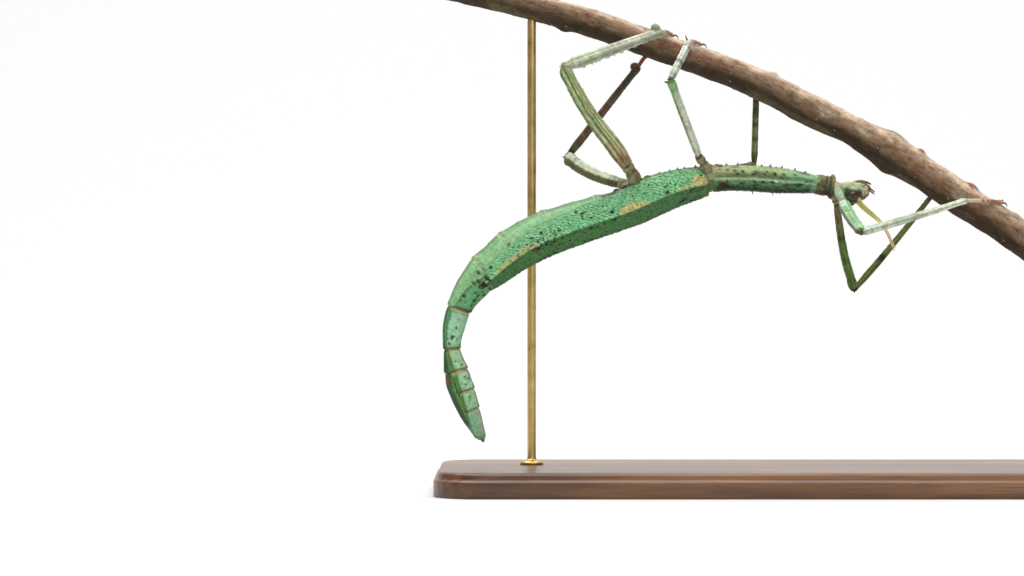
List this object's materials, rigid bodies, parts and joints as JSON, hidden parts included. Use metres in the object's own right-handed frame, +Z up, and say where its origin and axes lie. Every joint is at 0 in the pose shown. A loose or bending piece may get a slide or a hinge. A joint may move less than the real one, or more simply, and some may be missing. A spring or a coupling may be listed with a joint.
{
  "type": "stick insect",
  "caption": "Life-size model of a winged female stick insect hanging belly-up under a cut branch, its abdomen curled down, on a wooden display base.",
  "frame": {"origin": "middle of the underside of the stand's base", "axes": "+Z up; +X to the insect's head end, along the base's length; the insect's left side and the viewer are on the -Y side"},
  "size_m": [0.13, 0.054, 0.1045],
  "materials": {
    "cuticle_green": "satin green cuticle with dark spots",
    "cuticle_teal": "satin blue-green cuticle with brown ring edges",
    "cuticle_olive": "satin olive-brown cuticle",
    "cuticle_pale": "satin pale mint cuticle",
    "cuticle_brown": "satin dark brown cuticle",
    "wing": "leathery blue-green wing with raised veins, cream patches and dark cells",
    "eye": "glossy purple-brown eye",
    "antenna": "satin yellow-green shading to tan",
    "mouth": "satin reddish brown",
    "tarsus": "satin tan to orange",
    "claw": "glossy red-brown claw",
    "bark": "dry thin bark, tan above and dark below",
    "stand_wood": "oiled dark hardwood",
    "stand_brass": "satin brass"
  },
  "bodies": {
    "root": {"prothorax": "cuticle_olive", "mesothorax": "cuticle_green", "metathorax": "cuticle_green", "abdomen_1": "cuticle_teal", "abdomen_2": "cuticle_teal", "abdomen_3": "cuticle_teal", "abdomen_4": "cuticle_teal", "abdomen_5": "cuticle_teal", "abdomen_6": "cuticle_teal", "abdomen_7": "cuticle_teal", "abdomen_8": "cuticle_teal", "abdomen_9": "cuticle_teal", "abdomen_10": "cuticle_teal", "operculum": "cuticle_green", "tegmen_left": "wing", "hindwing_left": "wing", "tegmen_right": "wing", "hindwing_right": "wing", "head": "cuticle_green", "eye_left": "eye", "eye_right": "eye", "antenna_left": "antenna", "antenna_right": "antenna", "mouthparts": "mouth", "foreleg_left_coxa": "cuticle_olive", "foreleg_left_femur": "cuticle_pale", "foreleg_left_tibia": "cuticle_pale", "foreleg_left_tarsus": "tarsus", "foreleg_left_claws": "claw", "foreleg_right_coxa": "cuticle_olive", "foreleg_right_femur": "cuticle_olive", "foreleg_right_tibia": "cuticle_olive", "foreleg_right_tarsus": "tarsus", "foreleg_right_claws": "claw", "midleg_left_coxa": "cuticle_olive", "midleg_left_femur": "cuticle_pale", "midleg_left_tibia": "cuticle_pale", "midleg_left_tarsus": "tarsus", "midleg_left_claws": "claw", "midleg_right_coxa": "cuticle_olive", "midleg_right_femur": "cuticle_pale", "midleg_right_tibia": "cuticle_pale", "midleg_right_tarsus": "tarsus", "midleg_right_claws": "claw", "hindleg_left_coxa": "cuticle_olive", "hindleg_left_femur": "cuticle_pale", "hindleg_left_tibia": "cuticle_pale", "hindleg_left_tarsus": "tarsus", "hindleg_left_claws": "claw", "hindleg_right_coxa": "cuticle_olive", "hindleg_right_femur": "cuticle_brown", "hindleg_right_tibia": "cuticle_brown", "hindleg_right_tarsus": "tarsus", "hindleg_right_claws": "claw", "stand_base": "stand_wood", "stand_rod_left": "stand_brass", "stand_rod_right": "stand_brass", "perch_branch": "bark"}
  },
  "joints": []
}
